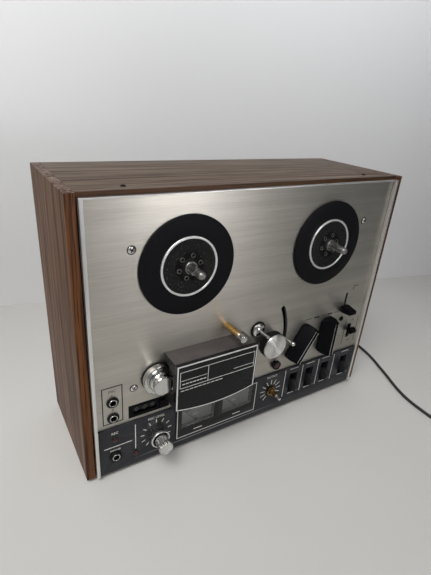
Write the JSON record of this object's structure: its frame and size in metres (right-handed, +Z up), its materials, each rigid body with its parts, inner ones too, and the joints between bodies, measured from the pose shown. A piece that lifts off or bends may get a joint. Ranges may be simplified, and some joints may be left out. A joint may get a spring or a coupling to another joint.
{
  "type": "reel_to_reel_tape_recorder",
  "caption": "Upright reel-to-reel tape recorder in a walnut case, with a brushed deck, head cover, capstan, rotary levers, meters and a mains lead",
  "frame": {"origin": "on the floor, in the middle of the box that holds the recorder without its mains lead", "axes": "X to the right as the user faces the deck, Y to the back, Z up"},
  "size_m": [0.5323, 0.4416, 0.3109],
  "materials": {
    "walnut": "satin oiled veneer with worn edges",
    "rubber_black": "matt",
    "deck_aluminium": "brushed from side to side, clear anodised",
    "trim_bright": "bright anodised",
    "chassis_steel": "zinc plated",
    "panel_black": "satin black",
    "plastic_black": "fine matt",
    "meter_glass": "clear",
    "lamp_red": "translucent",
    "needle_white": "painted white",
    "chrome": "polished",
    "knob_aluminium": "turned and fluted",
    "brass": "dull with age",
    "socket_metal": "nickel plated, dull",
    "electronics_grey": "plain"
  },
  "bodies": {
    "case": {"side_board_left": "walnut", "side_board_right": "walnut", "top_board": "walnut", "bottom_board": "walnut", "rear_panel": "panel_black", "feet": "rubber_black", "deck_plate": "deck_aluminium", "trim_frame": "trim_bright", "chassis": "chassis_steel", "control_panel": "panel_black", "screws": "chassis_steel", "meter_panel": "plastic_black", "meter_bodies": "plastic_black", "meter_glasses": "meter_glass", "head_cover": "panel_black", "head_block": "knob_aluminium", "capstan_housing": "chrome", "drive_belt": "rubber_black", "motor": "chassis_steel", "deck_posts": "chrome", "capstan_sleeve": "brass", "panel_switches": "plastic_black", "dual_pots": "brass", "jack_sockets": "socket_metal", "indicator_lamps": "lamp_red", "tape_counter": "plastic_black", "electronics": "electronics_grey", "cord_gland": "rubber_black", "power_cord": "rubber_black", "cord_coil": "rubber_black", "mains_plug": "plastic_black"},
    "reel_left": {"reel_table_left": "plastic_black", "spindle_left": "knob_aluminium"},
    "reel_right": {"reel_table_right": "plastic_black", "spindle_right": "knob_aluminium"},
    "guide_roller": {"guide_roller": "chrome"},
    "capstan": {"capstan": "chassis_steel"},
    "motor_pulley": {"motor_pulley": "brass"},
    "pinch_arm": {"pinch_arm": "chassis_steel"},
    "pinch_roller": {"pinch_roller": "chrome"},
    "shutoff_arm": {"shutoff_arm": "chassis_steel"},
    "search_lever": {"search_lever": "plastic_black"},
    "play_lever": {"play_lever": "plastic_black"},
    "pause_slider": {"pause_slider": "plastic_black"},
    "power_lever": {"power_lever": "plastic_black"},
    "selector_lever_1": {"selector_lever_1": "plastic_black"},
    "selector_lever_2": {"selector_lever_2": "plastic_black"},
    "selector_lever_3": {"selector_lever_3": "plastic_black"},
    "selector_lever_4": {"selector_lever_4": "plastic_black"},
    "level_knob_outer": {"level_knob_outer": "knob_aluminium"},
    "level_knob_inner": {"level_knob_inner": "knob_aluminium"},
    "output_shaft_outer": {"output_shaft_outer": "brass"},
    "output_shaft_inner": {"output_shaft_inner": "brass"},
    "record_button": {"record_button": "plastic_black"},
    "counter_wheel_1": {"counter_wheel_1": "plastic_black"},
    "counter_wheel_2": {"counter_wheel_2": "plastic_black"},
    "counter_wheel_3": {"counter_wheel_3": "plastic_black"},
    "counter_reset": {"counter_reset": "plastic_black"},
    "meter_needle_left": {"meter_needle_left": "needle_white"},
    "meter_needle_right": {"meter_needle_right": "needle_white"}
  },
  "joints": [
    {"name": "reel_left_spin", "type": "hinge", "parent": "case", "child": "reel_left", "pos_m": [-0.0925, -0.055, 0.234], "axis": [0, -1, 0], "continuous": true},
    {"name": "reel_right_spin", "type": "hinge", "parent": "case", "child": "reel_right", "pos_m": [0.0925, -0.055, 0.234], "axis": [0, -1, 0], "continuous": true},
    {"name": "guide_roller_spin", "type": "hinge", "parent": "case", "child": "guide_roller", "pos_m": [-0.1236, -0.061, 0.1143], "axis": [0, -1, 0], "continuous": true},
    {"name": "capstan_spin", "type": "hinge", "parent": "case", "child": "capstan", "pos_m": [0.004, -0.053, 0.139], "axis": [0, -1, 0], "continuous": true},
    {"name": "motor_pulley_spin", "type": "hinge", "parent": "case", "child": "motor_pulley", "pos_m": [-0.052, -0.036, 0.186], "axis": [0, -1, 0], "continuous": true},
    {"name": "pinch_arm_swing", "type": "hinge", "parent": "case", "child": "pinch_arm", "pos_m": [-0.0104, -0.047, 0.0942], "axis": [0, -1, 0], "range_deg": [0, 9]},
    {"name": "pinch_roller_spin", "type": "hinge", "parent": "pinch_arm", "child": "pinch_roller", "pos_m": [0.02006, -0.063, 0.12012], "axis": [0, -1, 0], "continuous": true},
    {"name": "shutoff_arm_swing", "type": "hinge", "parent": "case", "child": "shutoff_arm", "pos_m": [-0.0418, -0.025, 0.12], "axis": [0, -1, 0], "range_deg": [0, 27]},
    {"name": "search_lever_turn", "type": "hinge", "parent": "case", "child": "search_lever", "pos_m": [0.0753, -0.053, 0.1027], "axis": [0, -1, 0], "range_deg": [0, 60]},
    {"name": "play_lever_turn", "type": "hinge", "parent": "case", "child": "play_lever", "pos_m": [0.1215, -0.053, 0.1027], "axis": [0, -1, 0], "range_deg": [-30, 30]},
    {"name": "pause_slide", "type": "slide", "parent": "case", "child": "pause_slider", "axis": [0, 0, 1], "range_m": [0, 0.018]},
    {"name": "power_lever_tip", "type": "hinge", "parent": "case", "child": "power_lever", "pos_m": [0.1695, -0.0445, 0.096], "axis": [1, 0, 0], "range_deg": [0, 24]},
    {"name": "selector_lever_1_tip", "type": "hinge", "parent": "case", "child": "selector_lever_1", "pos_m": [0.0743, -0.0445, 0.0396], "axis": [1, 0, 0], "range_deg": [-24, 0]},
    {"name": "selector_lever_2_tip", "type": "hinge", "parent": "case", "child": "selector_lever_2", "pos_m": [0.1033, -0.0445, 0.0396], "axis": [1, 0, 0], "range_deg": [-24, 0]},
    {"name": "selector_lever_3_tip", "type": "hinge", "parent": "case", "child": "selector_lever_3", "pos_m": [0.1323, -0.0445, 0.0396], "axis": [1, 0, 0], "range_deg": [-24, 0]},
    {"name": "selector_lever_4_tip", "type": "hinge", "parent": "case", "child": "selector_lever_4", "pos_m": [0.1698, -0.0445, 0.0396], "axis": [1, 0, 0], "range_deg": [-24, 0]},
    {"name": "level_knob_outer_turn", "type": "hinge", "parent": "case", "child": "level_knob_outer", "pos_m": [-0.1246, -0.061, 0.0396], "axis": [0, -1, 0], "range_deg": [-140, 140]},
    {"name": "level_knob_inner_turn", "type": "hinge", "parent": "case", "child": "level_knob_inner", "pos_m": [-0.1246, -0.073, 0.0396], "axis": [0, -1, 0], "range_deg": [-140, 140]},
    {"name": "output_shaft_outer_turn", "type": "hinge", "parent": "case", "child": "output_shaft_outer", "pos_m": [0.0367, -0.061, 0.0396], "axis": [0, -1, 0], "range_deg": [-140, 140]},
    {"name": "output_shaft_inner_turn", "type": "hinge", "parent": "case", "child": "output_shaft_inner", "pos_m": [0.0367, -0.065, 0.0396], "axis": [0, -1, 0], "range_deg": [-140, 140]},
    {"name": "record_button_push", "type": "slide", "parent": "case", "child": "record_button", "axis": [0, 1, 0], "range_m": [0, 0.003], "stiffness_N_per_m": 300},
    {"name": "counter_wheel_1_spin", "type": "hinge", "parent": "case", "child": "counter_wheel_1", "pos_m": [-0.1459, -0.0445, 0.07755], "axis": [1, 0, 0], "continuous": true},
    {"name": "counter_wheel_2_spin", "type": "hinge", "parent": "case", "child": "counter_wheel_2", "pos_m": [-0.1367, -0.0445, 0.07755], "axis": [1, 0, 0], "continuous": true},
    {"name": "counter_wheel_3_spin", "type": "hinge", "parent": "case", "child": "counter_wheel_3", "pos_m": [-0.1275, -0.0445, 0.07755], "axis": [1, 0, 0], "continuous": true},
    {"name": "counter_reset_push", "type": "slide", "parent": "case", "child": "counter_reset", "axis": [0, 1, 0], "range_m": [0, 0.002], "stiffness_N_per_m": 300},
    {"name": "meter_needle_left_swing", "type": "hinge", "parent": "case", "child": "meter_needle_left", "pos_m": [-0.0721, -0.0497, 0.0334], "axis": [0, -1, 0], "range_deg": [-84, 0]},
    {"name": "meter_needle_right_swing", "type": "hinge", "parent": "case", "child": "meter_needle_right", "pos_m": [-0.0171, -0.0497, 0.0334], "axis": [0, -1, 0], "range_deg": [-84, 0]}
  ],
  "couplings": [
    {"joint": "motor_pulley_spin", "follows": "capstan_spin", "ratio": 4.5},
    {"joint": "counter_wheel_3_spin", "follows": "reel_left_spin", "ratio": 0.5},
    {"joint": "counter_wheel_2_spin", "follows": "reel_left_spin", "ratio": 0.05},
    {"joint": "counter_wheel_1_spin", "follows": "reel_left_spin", "ratio": 0.005}
  ]
}
